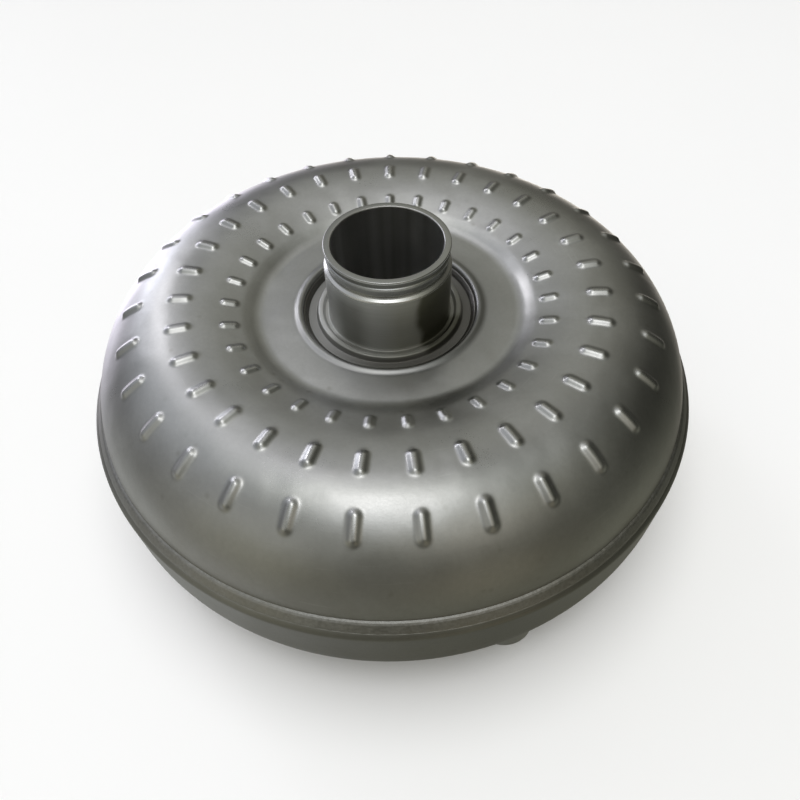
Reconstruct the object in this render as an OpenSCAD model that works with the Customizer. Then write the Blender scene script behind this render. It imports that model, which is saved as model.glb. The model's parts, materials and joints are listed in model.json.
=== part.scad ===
// Lock-up torque converter, welded shell, pump hub up, standing on its drive lugs.
// Origin: on the axis, at the level of the drive lug faces. +Z runs along the axis
// towards the pump hub. Every solid of revolution is drawn as its half section in
// the plane (radius, z).

/* [Shell] */
// Outer radius of the pump shell at the seam
shell_r = 126.7; // [126:0.1:127]
// Radius of the crest of the pump shell
crest_r = 88.5; // [88:0.1:89]
// Height of the crest of the pump shell
crest_z = 97.4; // [97:0.1:98]
// Height of the flat ring around the pump hub
flat_z = 89; // [88.6:0.1:89.2]
// Thickness of the pressed pump shell
shell_t = 4; // [3.6:0.1:4]
// Height of the cover rim at the seam
seam_z = 61; // [60:0.5:62]

/* [Fin dimples] */
// Number of fins, and of dimples in each row
fin_n = 31; // [25:1:33]
// Angle of the first dimple from +X
fin_a0 = 2.6; // [0:0.1:11]
// Radius of the outer row of dimples
row_outer_r = 107; // [105:0.5:109]
// Radius of the middle row of dimples
row_mid_r = 85.8; // [84:0.2:87]
// Radius of the inner row of dimples
row_inner_r = 66.2; // [65:0.2:68]
// Height of a dimple above the shell
dimple_h = 1.3; // [0.8:0.1:1.5]

/* [Pump hub] */
// Radius of the running journal
journal_r = 25.4; // [25:0.1:25.6]
// Radius of the reduced end of the hub
end_r = 24.7; // [24.4:0.1:24.9]
// Radius of the hub bore
hub_bore_r = 22; // [21.5:0.1:22.5]
// Height of the hub end
hub_top_z = 121.3; // [119:0.1:123]

/* [Front cover] */
// Outer radius of the front cover wall
cover_r = 131; // [130.8:0.1:131.5]
// Height of the outer face of the cover floor
cover_z = 12; // [11.5:0.1:12]
// Thickness of the front cover
cover_t = 4.5; // [4:0.1:4.5]
// Radius of the corner between the floor and the wall
corner_r = 29; // [26:0.5:29]
// Radius of the crank pilot
pilot_r = 21; // [18:0.5:23]

/* [Drive lugs] */
// Number of drive lugs
lug_n = 3; // [3:1:4]
// Bolt circle diameter of the drive lugs
lug_pcd = 222; // [218:1:222]
// Radius of the rounded outer end of a lug
lug_r = 13.5; // [12:0.5:13.5]
// Radius of the threaded hole in a lug, at its minor diameter
lug_hole_r = 4.25; // [3.3:0.05:4.25]

/* [Fluid circuit] */
// Height of the plane between pump and turbine
mid_z = 66; // [65.8:0.1:66.2]
// Number of turbine fins
turbine_n = 29; // [23:1:29]
// Number of stator blades
stator_n = 17; // [13:1:19]
// Thickness of the pressed fins
fin_t = 1; // [0.8:0.1:1.2]

/* [One-way clutch] */
// Number of clutch rollers
roller_n = 10; // [8:1:10]
// Radius of a clutch roller
roller_r = 3.2; // [3:0.1:3.2]
// Outer radius of the splined inner race
inner_race_r = 30; // [29.9:0.05:30]

/* [Lock-up clutch and damper] */
// Number of damper springs
spring_n = 6; // [6:1:6]
// Radius of the circle through the spring axes
spring_pitch_r = 97; // [96.5:0.5:97]
// Outside diameter of a damper spring
spring_od = 12; // [11:0.5:12]
// Free travel of the lock-up piston
piston_travel = 0.9; // [0.7:0.1:0.9]

/* [Hidden] */
$fn = 64;
e = 0.1;

// pump shell, outer half ellipse
sh_zc = 58;
sh_a = shell_r - crest_r;
sh_b = crest_z - sh_zc;
flat_r = 54;                 // where the flat ring ends and the crown starts
hole_r = 36.4;               // hole of the shell for the pump hub
// fluid circuit, half ellipses about mid_z
tor_a = 33.8;
tor_b = 27.4;
tur_a = 30.2;
tur_b = 26.5;
tur_t = 1.8;
core_r = 90;
core_a = 13.5;
core_b = 10.5;
core_t = 1.2;
gap = 1;                     // half of the gap between pump fins and turbine fins
// thrust bearings: race, clearance, needle, clearance, race
race_t = 0.9;
needle_r = 1.2;
brg_gap = 0.05;
brg_h = 2 * race_t + 2 * brg_gap + 2 * needle_r;
front_z = 21.5;              // inner face of the cover boss
turb_z0 = front_z + brg_h;   // lower face of the turbine hub
turb_z1 = 53.5;              // upper face of the turbine hub
race_z0 = turb_z1 + brg_h;   // lower face of the clutch inner race
race_z1 = 78.2;              // upper face of the clutch inner race
hub_z0 = race_z1 + brg_h;    // lower face of the pump hub
// turbine plate stack
tplate_z = 47.4;             // lower face of the flat of the turbine shell
rivet_pcr = 50.5;
// damper
spr_z = 30.5;                // height of the spring axes
spr_half = 18;               // half angle of a spring window
wire_r = 1.3;
twist_gap = 0.6;

function ell(cx, cz, a, b, a0, a1, n) = [for (i = [0:n]) let (t = a0 + (a1 - a0) * i / n) [cx + a * cos(t), cz + b * sin(t)]];
function smooth(t) = t * t * (3 - 2 * t);
// height of the pump shell's outer face at radius r
function crown(r) = r <= flat_r ? flat_z
    : r <= crest_r ? flat_z + (crest_z - flat_z) * (0.5 * smooth((r - flat_r) / (crest_r - flat_r))
        + 0.5 * sqrt(1 - pow((crest_r - r) / (crest_r - flat_r), 2)))
    : sh_zc + sh_b * sqrt(1 - pow((r - crest_r) / sh_a, 2));
function slope(r) = atan((crown(r + 0.4) - crown(r - 0.4)) / 0.8);
function crown_pts(r0, r1, n, dz = 0) = [for (i = [0:n]) let (r = r0 + (r1 - r0) * i / n) [r, crown(r) + dz]];

module revolve(pts) { rotate_extrude($fn = 96) polygon(pts); }
module ring(r0, r1, z0, z1) { rotate_extrude($fn = 96) translate([r0, z0]) square([r1 - r0, z1 - z0]); }
module around(n, a0 = 0) { for (i = [0:n - 1]) rotate([0, 0, a0 + i * 360 / n]) children(); }
// sector of a ring, between angles a0 and a1
module sector(r0, r1, z0, z1, a0, a1) { rotate([0, 0, a0]) rotate_extrude(angle = a1 - a0, $fn = 96) translate([r0, z0]) square([r1 - r0, z1 - z0]); }

// one raised fin dimple: a capsule sunk in the shell at radius r
module dimple(r, len, rad, h) {
    translate([r, 0, crown(r)]) rotate([0, -slope(r), 0]) translate([0, 0, h - rad]) {
        translate([-len / 2, 0, 0]) rotate([0, 90, 0]) cylinder(r = rad, h = len, $fn = 24);
        translate([-len / 2, 0, 0]) sphere(r = rad, $fn = 24);
        translate([len / 2, 0, 0]) sphere(r = rad, $fn = 24);
    }
}

// ---------------------------------------------------------------- housing

module impeller_shell() {
    color([0.55, 0.56, 0.54]) difference() {
        union() {
            revolve(concat([[30, 52]], [[shell_r, 52]], ell(crest_r, sh_zc, sh_a, sh_b, 0, 88, 22),
                crown_pts(crest_r, flat_r, 12), [[41.5, flat_z], [40.2, flat_z + 0.4], [38.4, flat_z + 0.4], [37.2, flat_z - 0.6], [30, flat_z - 0.6]]));
            around(fin_n, fin_a0) {
                dimple(row_outer_r, 7, 3.05, dimple_h);
                dimple(row_mid_r, 5.6, 3.05, dimple_h);
                dimple(row_inner_r, 4, 2.6, dimple_h * 0.8);
            }
        }
        revolve(concat([[0, 51]], [[122.7, 51], [122.7, 64], [crest_r + tor_a, mid_z]],
            ell(crest_r, mid_z, tor_a, tor_b, 4, 88, 20),
            crown_pts(crest_r, flat_r, 10, -shell_t), [[flat_r - 2, flat_z - shell_t], [0, flat_z - shell_t]]));
        cylinder(r = hole_r, h = 60, center = false);
        translate([0, 0, 60]) cylinder(r = hole_r, h = 60);
    }
}

module pump_hub() {
    color([0.62, 0.63, 0.62]) revolve([
        [hub_bore_r, hub_z0], [41, hub_z0], [41, flat_z - shell_t - 0.05], [hole_r - 0.1, flat_z - shell_t - 0.05],
        [hole_r - 0.1, 85.6], [32.6, 85.8], [31.2, 87.2], [30.2, 87.9], [28.8, 88.1], [27.6, 87.8], [27, 86.8], [25.9, 86.8], [journal_r, 87.6],
        [journal_r, 111.5], [journal_r - 0.15, 112], [journal_r - 0.5, 112.3], [end_r - 0.25, 112.7], [end_r - 0.35, 113.4], [end_r, 117],
        [end_r - 0.05, 117.5], [end_r - 0.6, 118.3], [end_r - 0.7, 118.9], [end_r - 0.7, 120], [end_r + 0.15, 120.3],
        [end_r + 0.15, hub_top_z - 0.4], [end_r - 0.15, hub_top_z], [hub_bore_r + 0.4, hub_top_z], [hub_bore_r, hub_top_z - 0.4]]);
}

module hub_weld_bead() {
    color([0.5, 0.5, 0.48]) revolve([[34.4, 85.8], [35.2, 86.6], [36, 87], [hole_r - 0.05, 87.3], [hole_r - 0.05, 85.7]]);
}

module impeller_fins() {
    color([0.66, 0.67, 0.68]) around(fin_n, fin_a0) rotate([90, 0, 0]) translate([0, 0, -fin_t / 2]) linear_extrude(fin_t)
        polygon(concat(ell(crest_r, mid_z, tor_a - e, tor_b - e, 2.3, 88, 18), crown_pts(crest_r, 58.5, 8, -shell_t - e),
            [[60.5, 78], [77.5, 77]], ell(core_r, mid_z, core_a + e, core_b + e, 150, 6, 12)));
}

module impeller_core_ring() {
    color([0.6, 0.61, 0.62]) revolve(concat(ell(core_r, mid_z, core_a, core_b, 6, 174, 16), ell(core_r, mid_z, core_a - core_t, core_b - core_t, 173, 7, 16)));
}

module front_cover() {
    color([0.36, 0.36, 0.33]) revolve(concat(
        [[0, cover_z + 5], [30, cover_z + 5], [33, cover_z + 2], [36, cover_z]],
        ell(cover_r - corner_r, cover_z + corner_r, corner_r, corner_r, -90, 0, 14),
        [[cover_r, seam_z - 2.5], [cover_r - 0.3, seam_z - 1.7], [cover_r - 1.4, seam_z - 0.25], [cover_r - 1.75, seam_z], [shell_r + 0.1, seam_z], [shell_r + 0.1, 50]],
        ell(cover_r - corner_r, cover_z + corner_r, corner_r - cover_t, corner_r - cover_t, 0, -90, 12),
        [[40, cover_z + cover_t], [36.5, 18], [33.4, front_z], [0, front_z]]));
}

module crank_pilot() {
    color([0.42, 0.42, 0.4]) revolve([[0, 7.2], [2.4, 3.1], [12, 3], [13.4, 2], [pilot_r - 1.5, 2], [pilot_r, 3.5], [pilot_r, cover_z + 2.2], [pilot_r + 1.6, cover_z + 4.95], [0, cover_z + 4.95]]);
}

module drive_lugs() {
    color([0.4, 0.4, 0.37]) around(lug_n, 180) difference() {
        intersection() {
            union() {
                translate([lug_pcd / 2, 0, 0]) cylinder(r = lug_r, h = 28);
                translate([94, -lug_r, 0]) cube([lug_pcd / 2 - 94, 2 * lug_r, 28]);
            }
            // the lug's back follows the floor and the corner of the cover
            revolve(concat([[60, 0], [130, 0]], [for (p = ell(cover_r - corner_r, cover_z + corner_r, corner_r + 0.05, corner_r + 0.05, -28, -90, 12)) p], [[60, cover_z - 0.05]]));
        }
        translate([lug_pcd / 2, 0, -1]) cylinder(r = lug_hole_r, h = cover_z + 0.3);
        translate([lug_pcd / 2, 0, cover_z - 0.71]) cylinder(r1 = lug_hole_r, r2 = 0.4, h = 1.1);
        translate([lug_pcd / 2, 0, -0.01]) cylinder(r1 = lug_hole_r + 0.9, r2 = lug_hole_r, h = 0.9);
    }
}

module seam_weld_bead() {
    color([0.58, 0.58, 0.55]) revolve(concat(
        ell(crest_r, sh_zc, sh_a + 0.05, sh_b + 0.05, asin((seam_z + 0.05 - sh_zc) / (sh_b + 0.05)), asin((seam_z + 3.1 - sh_zc) / (sh_b + 0.05)), 3),
        [[shell_r + 0.2, seam_z + 2.95], [shell_r + 0.9, seam_z + 2.45], [shell_r + 1.6, seam_z + 1.65], [shell_r + 2.2, seam_z + 0.85], [shell_r + 2.5, seam_z + 0.05]]));
}

// ---------------------------------------------------------------- thrust bearings

module race(z, r0, r1) { color([0.72, 0.73, 0.74]) ring(r0, r1, z, z + race_t); }
module needles(z, r0, r1, n) {
    color([0.8, 0.81, 0.82]) around(n) translate([r0, 0, z + race_t + brg_gap + needle_r]) rotate([0, 90, 0]) cylinder(r = needle_r, h = r1 - r0, $fn = 24);
}
module cage(z, r0, r1, n) {
    color([0.5, 0.48, 0.4]) difference() {
        ring(r0, r1, z + race_t + 0.45, z + race_t + 2.05);
        around(n) translate([r0 + 1, -needle_r - 0.08, z]) cube([r1 - r0 - 2, 2 * needle_r + 0.16, 6]);
    }
}

module front_race_on_cover() { race(front_z, 17, 31); }
module front_race_on_turbine() { race(turb_z0 - race_t, 17, 31); }
module front_needles() { needles(front_z, 19.6, 28.4, 24); }
module front_bearing_cage() { cage(front_z, 18.5, 29.5, 24); }
module middle_race_on_turbine() { race(turb_z1, 23, 36); }
module middle_race_on_stator() { race(race_z0 - race_t, 21.5, 36); }
module middle_needles() { needles(turb_z1, 25.1, 33.4, 30); }
module middle_bearing_cage() { cage(turb_z1, 24, 34.5, 30); }
module rear_race_on_stator() { race(race_z1, 23, 36); }
module rear_race_on_hub() { race(hub_z0 - race_t, 23, 36); }
module rear_needles() { needles(race_z1, 25.1, 33.4, 30); }
module rear_bearing_cage() { cage(race_z1, 24, 34.5, 30); }

// ---------------------------------------------------------------- turbine

module rivet_holes(r) { around(12) translate([rivet_pcr, 0, 30]) cylinder(r = r, h = 40, $fn = 24); }

module turbine_shell() {
    color([0.6, 0.61, 0.6]) difference() {
        revolve(concat([[44, tplate_z], [64.4, tplate_z]], ell(crest_r, mid_z, tur_a + tur_t, tur_b + tur_t, 221.5, 358, 26),
            ell(crest_r, mid_z, tur_a, tur_b, 358, 219.5, 26), [[44, tplate_z + tur_t]]));
        rivet_holes(3.05);
    }
}

module turbine_fins() {
    color([0.66, 0.67, 0.68]) around(turbine_n) rotate([90, 0, 0]) translate([0, 0, -fin_t / 2]) linear_extrude(fin_t)
        polygon(concat(ell(crest_r, mid_z, tur_a - e, tur_b - e, 357.7, 219.4, 20), [[60, tplate_z + tur_t + 2 * e], [60.5, 54], [77.5, 55]],
            ell(core_r, mid_z, core_a + e, core_b + e, 210, 354, 12)));
}

module turbine_core_ring() {
    color([0.6, 0.61, 0.62]) revolve(concat(ell(core_r, mid_z, core_a, core_b, 186, 354, 16), ell(core_r, mid_z, core_a - core_t, core_b - core_t, 353, 187, 16)));
}

module turbine_hub() {
    color([0.56, 0.56, 0.55]) difference() {
        revolve([[11.5, turb_z0], [33.95, turb_z0], [33.95, 30.4], [31.6, 30.4], [31.6, 32.4], [33.95, 32.4], [33.95, 38], [36, 41], [36, 44],
            [43.5, tplate_z + tur_t + 0.05], [57, tplate_z + tur_t + 0.05], [57, 53.2], [38, 53.2], [37.5, turb_z1], [12.5, turb_z1], [11.5, turb_z1 - 1]]);
        around(24) translate([11, -0.75, 20]) cube([1.7, 1.5, 40]);
        rivet_holes(3.05);
    }
}

module turbine_rivets() {
    color([0.5, 0.5, 0.5]) around(12) translate([rivet_pcr, 0, 0]) {
        translate([0, 0, 43.3]) cylinder(r = 3, h = 11.1, $fn = 24);
        translate([0, 0, 43.2]) cylinder(r1 = 3.8, r2 = 4.6, h = 1.5, $fn = 24);
        translate([0, 0, 53.25]) cylinder(r1 = 4.6, r2 = 3.8, h = 1.4, $fn = 24);
    }
}

module damper_driven_plate() {
    color([0.45, 0.46, 0.46]) difference() {
        union() {
            revolve([[44, 44.8], [57, 44.8], [66, 29], [89.6, 29], [89.6, 32], [67.8, 32], [58.8, tplate_z - 0.1], [44, tplate_z - 0.1]]);
            around(spring_n) sector(88.6, 103.4, 29, 32, -11.4, 11.4);
        }
        rivet_holes(3.05);
        around(12, 15) translate([80, 0, 20]) cylinder(r = 4, h = 20, $fn = 24);
    }
}

module piston_seal_ring() {
    color([0.25, 0.24, 0.2]) difference() {
        ring(31.9, 33.98, 30.5, 32.3);
        translate([30, -0.3, 30]) cube([6, 0.6, 3]);
    }
}

// ---------------------------------------------------------------- damper

module side_plate(z0, z1, notch) {
    difference() {
        ring(72, 110, z0, z1);
        around(spring_n, 30) sector(90.2, 103.6, z0 - 1, z1 + 1, -spr_half, spr_half);
        around(spring_n) sector(105.2, 112, z0 - 1, z1 + 1, -notch, notch);
        around(spring_n, 30) translate([106.8, 0, z0 - 1]) cylinder(r = 1.65, h = z1 - z0 + 2, $fn = 24);
    }
}

module damper_drive_plate() { color([0.47, 0.48, 0.48]) side_plate(26.2, 27.8, 4.4); }
module damper_cover_plate() { color([0.5, 0.51, 0.51]) side_plate(33.2, 34.8, 4.4); }

module damper_rivets() {
    color([0.55, 0.55, 0.55]) around(spring_n, 30) translate([106.8, 0, 0]) {
        translate([0, 0, 25.2]) cylinder(r = 1.6, h = 10.6, $fn = 24);
        translate([0, 0, 24.9]) cylinder(r = 2.4, h = 1.25, $fn = 24);
        translate([0, 0, 34.85]) cylinder(r = 2.4, h = 1.25, $fn = 24);
        translate([0, 0, 27.85]) cylinder(r = 2.4, h = 5.3, $fn = 24);
    }
}

// a coil spring wound along an arc of the pitch circle
coil_turns = 8;
coil_seg = 8;
coil_side = 6;
function coil_c(t) = let (a = -spr_half + 1 + t * (2 * spr_half - 2), w = t * coil_turns * 360, q = spring_od / 2 - wire_r, r = spring_pitch_r + q * cos(w))
    [r * cos(a), r * sin(a), spr_z + q * sin(w)];
function unit(v) = v / norm(v);
function coil_ring(t) = let (p = coil_c(t), d = unit(coil_c(t + 0.001) - coil_c(t - 0.001)),
    a = -spr_half + 1 + t * (2 * spr_half - 2), m = [spring_pitch_r * cos(a), spring_pitch_r * sin(a), spr_z],
    u = unit((p - m) - ((p - m) * d) * d), v = cross(d, u))
    [for (k = [0:coil_side - 1]) p + wire_r * (cos(k * 360 / coil_side) * u + sin(k * 360 / coil_side) * v)];
module coil() {
    n = coil_turns * coil_seg;
    pts = [for (i = [0:n]) each coil_ring(i / n)];
    polyhedron(points = pts, faces = concat(
        [[for (k = [0:coil_side - 1]) k]],
        [[for (k = [coil_side - 1:-1:0]) n * coil_side + k]],
        [for (i = [0:n - 1], k = [0:coil_side - 1]) let (k2 = (k + 1) % coil_side)
            [i * coil_side + k, (i + 1) * coil_side + k, (i + 1) * coil_side + k2, i * coil_side + k2]]), convexity = 8);
}

module damper_springs() { color([0.35, 0.36, 0.38]) around(spring_n, 30) coil(); }

// ---------------------------------------------------------------- lock-up piston

module lockup_piston() {
    color([0.52, 0.53, 0.53]) union() {
        revolve([[34.02, 22], [79, 22], [86, 18.7], [109, 18.7], [109, 21.7], [86.8, 21.7], [79.8, 25], [38, 25], [38, 35], [34.02, 35]]);
        around(spring_n) sector(105.8, 108.6, 20, 31, -4, 4);
    }
}

module friction_lining() { color([0.42, 0.34, 0.22]) difference() {
    ring(86.4, 102, 17.5, 18.65);
    around(12, 15) rotate([0, 0, 0]) translate([85, -0.8, 17.2]) cube([21, 1.6, 0.7]);
} }

// ---------------------------------------------------------------- stator and one-way clutch

// cambered blade section, chord along the axis
function camber(t) = 5.5 * sin(180 * t) * 0.55 + 7 * (t - 0.5);
function blade_th(t) = 3.3 * sqrt(max(0, t)) * (1 - t) * 1.6 + 0.5;
function blade_pts(h) = concat([for (i = [0:12]) let (t = i / 12) [camber(t) + blade_th(t) / 2, t * h]], [for (i = [12:-1:0]) let (t = i / 12) [camber(t) - blade_th(t) / 2, t * h]]);

module stator_wheel() {
    color([0.75, 0.76, 0.77]) union() {
        difference() {
            ring(43, 55.5, 58, 77.2);
            translate([0, 0, 59.8]) cylinder(r = 44.2, h = 30);
            translate([0, 0, 76.1]) cylinder(r = 45, h = 0.9);
        }
        ring(73.5, 75.5, 58, 75);
        around(stator_n) translate([54.6, 0, 58.5]) rotate([90, 0, 90]) linear_extrude(19.6) polygon(blade_pts(16));
    }
}

module clutch_outer_race() {
    color([0.58, 0.58, 0.57]) translate([0, 0, 61]) linear_extrude(14) difference() {
        circle(r = 44.15, $fn = 96);
        circle(r = 31.4, $fn = 96);
        for (i = [0:roller_n - 1]) rotate(i * 360 / roller_n) {
            translate([inner_race_r + roller_r + 0.25, 0]) circle(r = roller_r + 0.35, $fn = 32);
            polygon([[31, -3.2], [36.6, -2.6], [35.6, 8.8], [30, 9.4]]);
        }
    }
}

module clutch_rollers() {
    color([0.8, 0.81, 0.82]) around(roller_n) translate([inner_race_r + roller_r + 0.06, 0, 61.2]) cylinder(r = roller_r, h = 13.6, $fn = 32);
}

// folded leaf spring that pushes each roller up its ramp
module clutch_springs() {
    color([0.6, 0.55, 0.4]) around(roller_n) translate([31.9, 4, 62.5]) linear_extrude(11)
        for (i = [0:4]) let (x0 = i % 2 == 0 ? 0 : 2.4, x1 = 2.4 - x0, y0 = 0.2 + 0.75 * i, y1 = y0 + 0.75)
            polygon([[x0, y0], [x1, y1], [x1, y1 + 0.4], [x0, y0 + 0.4]]);
}

module stator_front_retainer() { color([0.7, 0.62, 0.42]) difference() {
    ring(30.4, 44.1, 59.85, 60.9);
    around(6) translate([40.6, 0, 55]) cylinder(r = 1.2, h = 8, $fn = 24);
} }
module stator_rear_retainer() { color([0.7, 0.62, 0.42]) difference() {
    ring(30.4, 44.1, 75.1, 76.05);
    around(6) translate([40.6, 0, 70]) cylinder(r = 1.2, h = 8, $fn = 24);
} }
module retainer_snap_ring() { color([0.4, 0.4, 0.4]) difference() {
    ring(41.8, 44.9, 76.15, 76.95);
    translate([40, -4, 75]) cube([8, 8, 3]);
} }

module clutch_inner_race() {
    color([0.64, 0.64, 0.63]) difference() {
        revolve([[19.5, race_z0 + 0.8], [20.3, race_z0], [36, race_z0], [36, race_z0 + 1.6], [inner_race_r, race_z0 + 1.8], [inner_race_r, race_z1 - 1.9], [36, race_z1 - 1.7], [36, race_z1], [20.3, race_z1], [19.5, race_z1 - 0.8]]);
        around(30) translate([19, -1, 50]) cube([1.8, 2, 40]);
    }
}

impeller_shell();
pump_hub();
hub_weld_bead();
impeller_fins();
impeller_core_ring();
front_cover();
crank_pilot();
drive_lugs();
seam_weld_bead();
front_race_on_cover();
rear_race_on_hub();
turbine_shell();
turbine_fins();
turbine_core_ring();
turbine_hub();
turbine_rivets();
damper_driven_plate();
piston_seal_ring();
front_race_on_turbine();
middle_race_on_turbine();
front_bearing_cage();
front_needles();
middle_bearing_cage();
middle_needles();
rear_bearing_cage();
rear_needles();
damper_drive_plate();
damper_cover_plate();
damper_rivets();
damper_springs();
lockup_piston();
friction_lining();
stator_wheel();
clutch_outer_race();
clutch_rollers();
clutch_springs();
stator_front_retainer();
stator_rear_retainer();
retainer_snap_ring();
clutch_inner_race();
middle_race_on_stator();
rear_race_on_stator();
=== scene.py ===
import json
import math
import bpy
import numpy as np
from mathutils import Matrix, Vector


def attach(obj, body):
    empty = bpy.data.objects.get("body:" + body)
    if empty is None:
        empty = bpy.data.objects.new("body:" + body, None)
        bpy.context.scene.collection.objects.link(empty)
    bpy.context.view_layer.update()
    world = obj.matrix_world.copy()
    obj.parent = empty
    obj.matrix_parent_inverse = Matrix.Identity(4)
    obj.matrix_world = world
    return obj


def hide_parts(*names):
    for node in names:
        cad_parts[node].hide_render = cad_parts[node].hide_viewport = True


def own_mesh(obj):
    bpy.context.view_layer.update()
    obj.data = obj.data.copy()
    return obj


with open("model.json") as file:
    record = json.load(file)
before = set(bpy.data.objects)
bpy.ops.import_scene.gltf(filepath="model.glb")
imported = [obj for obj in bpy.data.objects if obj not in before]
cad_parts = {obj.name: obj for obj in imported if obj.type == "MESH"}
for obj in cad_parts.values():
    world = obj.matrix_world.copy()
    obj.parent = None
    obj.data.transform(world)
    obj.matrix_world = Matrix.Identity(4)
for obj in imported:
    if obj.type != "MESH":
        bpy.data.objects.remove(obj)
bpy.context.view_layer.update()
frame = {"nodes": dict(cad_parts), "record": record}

MM = 0.001
scene = bpy.context.scene
nodes = frame["nodes"]

# ------------------------------------------------------------------ sizes shared with the CAD (mm)
SHELL_R, CREST_R, CREST_Z, SH_ZC = 126.7, 88.5, 97.4, 58.0
SH_A, SH_B = SHELL_R - CREST_R, CREST_Z - SH_ZC
FIN_N, FIN_A0 = 31, 2.6
SEAM_Z, COVER_R, COVER_Z, COVER_T, CORNER_R = 61.0, 131.0, 12.0, 4.5, 29.0
HUB_TOP = 121.3
HUB_Z0 = 82.5

# ------------------------------------------------------------------ mesh helpers

def new_object(name, verts, faces, body, replaces=(), material=None, smooth=True, sharp=None):
    me = bpy.data.meshes.new(name)
    me.from_pydata([tuple(v) for v in (np.asarray(verts) * MM)], [], [tuple(int(i) for i in f) for f in faces])
    me.validate(verbose=False)
    me.update()
    ob = bpy.data.objects.new(name, me)
    scene.collection.objects.link(ob)
    if smooth:
        me.polygons.foreach_set("use_smooth", [True] * len(me.polygons))
        if sharp is not None:
            me.set_sharp_from_angle(angle=math.radians(sharp))
    if material is not None:
        me.materials.append(material)
    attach(ob, body)
    if replaces:
        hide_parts(*replaces)
    return ob


def area2(p):
    return sum(p[i][0] * p[(i + 1) % len(p)][1] - p[(i + 1) % len(p)][0] * p[i][1] for i in range(len(p)))


def fillet(points, seg=5):
    """points are (r, z, radius); corners with a radius become arcs of seg pieces."""
    out, n = [], len(points)
    for i, (x, y, rad) in enumerate(points):
        a, b = points[i - 1], points[(i + 1) % n]
        if not rad:
            out.append((x, y))
            continue
        u = np.array([a[0] - x, a[1] - y], float); v = np.array([b[0] - x, b[1] - y], float)
        lu, lv = np.linalg.norm(u), np.linalg.norm(v)
        u /= lu; v /= lv
        c = float(np.clip(np.dot(u, v), -1, 1)); half = math.acos(c) / 2
        if half > math.radians(88.5):
            out.append((x, y)); continue
        d = min(rad / math.tan(half), 0.48 * lu, 0.48 * lv)
        p, q = np.array([x, y]) + u * d, np.array([x, y]) + v * d
        for k in range(seg + 1):
            t = k / seg
            # quadratic curve close to the arc
            w = 1 / max(math.sin(half), 1e-6)
            s = (1 - t) ** 2 + t ** 2 + 2 * t * (1 - t) * math.sin(half)
            pt = ((1 - t) ** 2 * p + t ** 2 * q + 2 * t * (1 - t) * math.sin(half) * np.array([x, y])) / s
            out.append((float(pt[0]), float(pt[1])))
    return out


def densify(prof, step):
    """Splits long straight runs of a closed profile."""
    out = []
    for i, p in enumerate(prof):
        q = prof[(i + 1) % len(prof)]
        d = math.hypot(q[0] - p[0], q[1] - p[1])
        k = max(1, int(math.ceil(d / step)))
        for j in range(k):
            out.append((p[0] + (q[0] - p[0]) * j / k, p[1] + (q[1] - p[1]) * j / k))
    return out


def dedupe(prof, eps=1e-4):
    out = []
    for p in prof:
        if not out or math.hypot(p[0] - out[-1][0], p[1] - out[-1][1]) > eps:
            out.append(p)
    if math.hypot(out[0][0] - out[-1][0], out[0][1] - out[-1][1]) <= eps:
        out.pop()
    return out


def lathe_mesh(prof, thetas, warp=None):
    """Closed profile (r, z) turned about the axis. warp(r, z, theta, i) returns (r, z, theta)."""
    prof = dedupe(prof)
    if area2(prof) < 0:
        prof = prof[::-1]
    axis = [i for i, p in enumerate(prof) if abs(p[0]) < 1e-6]
    n = len(thetas)
    if not axis:
        m = len(prof)
        P = np.array(prof)
        R = np.tile(P[:, 0], (n, 1)); Z = np.tile(P[:, 1], (n, 1)); T = np.tile(np.array(thetas)[:, None], (1, m))
        if warp is not None:
            R, Z, T = warp(R, Z, T)
        V = np.stack([R * np.cos(T), R * np.sin(T), Z], -1).reshape(-1, 3)
        J, I = np.meshgrid(np.arange(n), np.arange(m), indexing="ij")
        J2, I2 = (J + 1) % n, (I + 1) % m
        F = np.stack([J * m + I, J2 * m + I, J2 * m + I2, J * m + I2], -1).reshape(-1, 4)
        return V, F.tolist()
    # two points lie on the axis, next to each other: open the chain between them
    k = [i for i in range(len(prof)) if abs(prof[i][0]) < 1e-6 and abs(prof[(i + 1) % len(prof)][0]) < 1e-6][0]
    chain = prof[(k + 1) % len(prof):] + prof[:(k + 1) % len(prof)]
    a, b, inner = chain[0], chain[-1], chain[1:-1]
    m = len(inner)
    P = np.array(inner)
    R = np.tile(P[:, 0], (n, 1)); Z = np.tile(P[:, 1], (n, 1)); T = np.tile(np.array(thetas)[:, None], (1, m))
    if warp is not None:
        R, Z, T = warp(R, Z, T)
    V = np.stack([R * np.cos(T), R * np.sin(T), Z], -1).reshape(-1, 3)
    V = np.vstack([V, [[0, 0, a[1]], [0, 0, b[1]]]])
    ia, ib = n * m, n * m + 1
    F = []
    for j in range(n):
        j2 = (j + 1) % n
        for i in range(m - 1):
            F.append((j * m + i, j2 * m + i, j2 * m + i + 1, j * m + i + 1))
        F.append((ia, j2 * m, j * m))
        F.append((ib, j * m + m - 1, j2 * m + m - 1))
    return V, F


def circle(n, a0=0.0):
    return [math.radians(a0) + 2 * math.pi * i / n for i in range(n)]


def lathe(name, prof, n, body, replaces=(), material=None, sharp=None, warp=None):
    V, F = lathe_mesh(prof, circle(n) if isinstance(n, int) else n, warp)
    return new_object(name, V, F, body, replaces, material, sharp=sharp)

# ------------------------------------------------------------------ materials

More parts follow.
